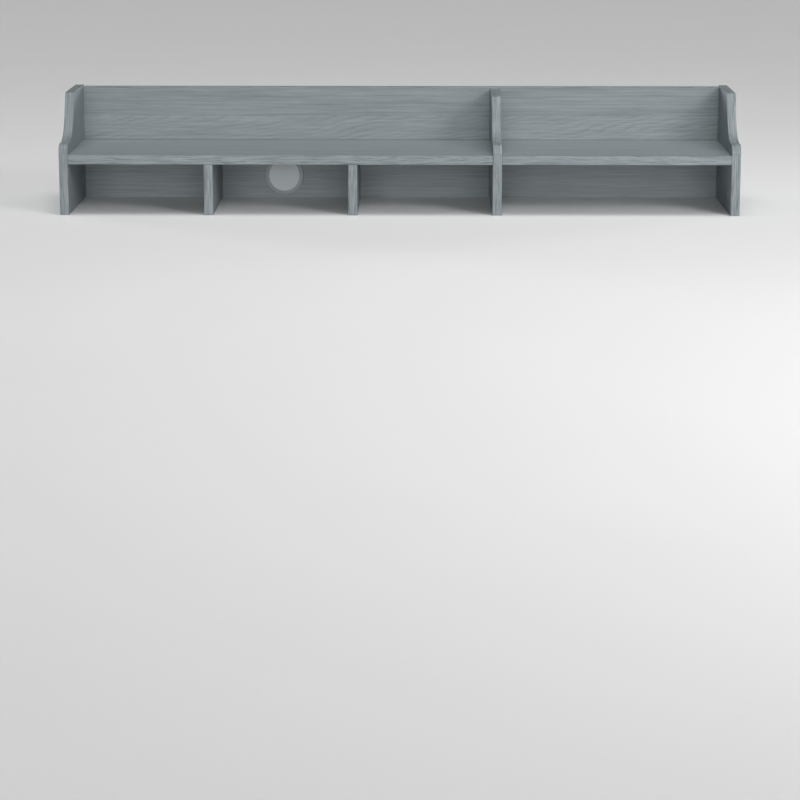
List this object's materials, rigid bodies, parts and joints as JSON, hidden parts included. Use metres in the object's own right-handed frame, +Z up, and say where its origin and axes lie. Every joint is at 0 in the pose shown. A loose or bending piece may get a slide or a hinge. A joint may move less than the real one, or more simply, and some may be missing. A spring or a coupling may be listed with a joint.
{
  "type": "desk hutch",
  "caption": "Low desk-top hutch with shaped ends and centre divider, back panel, two shelves over cubbies and an open bay, and a cable grommet.",
  "frame": {"origin": "middle of the footprint, on the desktop that the hutch stands on", "axes": "+X to the right seen from the front, -Y out of the open front, +Z up"},
  "size_m": [1.19, 0.24, 0.204],
  "materials": {
    "melamine_board": "grey woodgrain melamine on particle board, satin, fine pore texture",
    "edge_banding": "printed linear woodgrain ABS edging, satin",
    "zinc_casting": "die-cast zinc, dull",
    "zinc_plated_steel": "bright zinc plate",
    "beech_dowel": "plain turned beech",
    "grommet_lid_plastic": "moulded, fine satin texture",
    "grommet_ring_plastic": "moulded, fine satin texture"
  },
  "bodies": {
    "hutch": {"left_end_panel": "melamine_board", "right_end_panel": "melamine_board", "centre_divider": "melamine_board", "back_panel": "melamine_board", "long_shelf": "melamine_board", "short_shelf": "melamine_board", "left_cubby_divider": "melamine_board", "right_cubby_divider": "melamine_board", "left_end_front_edge_band": "edge_banding", "right_end_front_edge_band": "edge_banding", "centre_divider_front_edge_band": "edge_banding", "left_end_profile_edge_band": "edge_banding", "right_end_profile_edge_band": "edge_banding", "centre_divider_profile_edge_band": "edge_banding", "left_end_rear_edge_band": "edge_banding", "right_end_rear_edge_band": "edge_banding", "back_panel_top_edge_band": "edge_banding", "long_shelf_edge_band": "edge_banding", "short_shelf_edge_band": "edge_banding", "left_cubby_divider_edge_band": "edge_banding", "right_cubby_divider_edge_band": "edge_banding", "shelf_cam_locks": "zinc_casting", "back_panel_cam_locks": "zinc_casting", "desk_cam_locks": "zinc_casting", "shelf_cam_bolts": "zinc_plated_steel", "back_panel_cam_bolts": "zinc_plated_steel", "centre_through_bolts": "zinc_plated_steel", "back_panel_screws": "zinc_plated_steel", "shelf_dowels": "beech_dowel", "back_panel_dowels": "beech_dowel", "centre_through_dowels": "beech_dowel", "cubby_divider_dowels": "beech_dowel", "grommet_sleeve": "grommet_ring_plastic"},
    "grommet_lid": {"grommet_lid": "grommet_lid_plastic"},
    "grommet_shutter": {"grommet_shutter": "grommet_lid_plastic"}
  },
  "joints": [
    {"name": "lid_pull", "type": "slide", "parent": "hutch", "child": "grommet_lid", "axis": [0, -1, 0], "range_m": [0, 0.03]},
    {"name": "shutter_turn", "type": "hinge", "parent": "grommet_lid", "child": "grommet_shutter", "pos_m": [-0.213, 0.1039, 0.04], "axis": [0, 1, 0], "range_deg": [0, 180]}
  ]
}
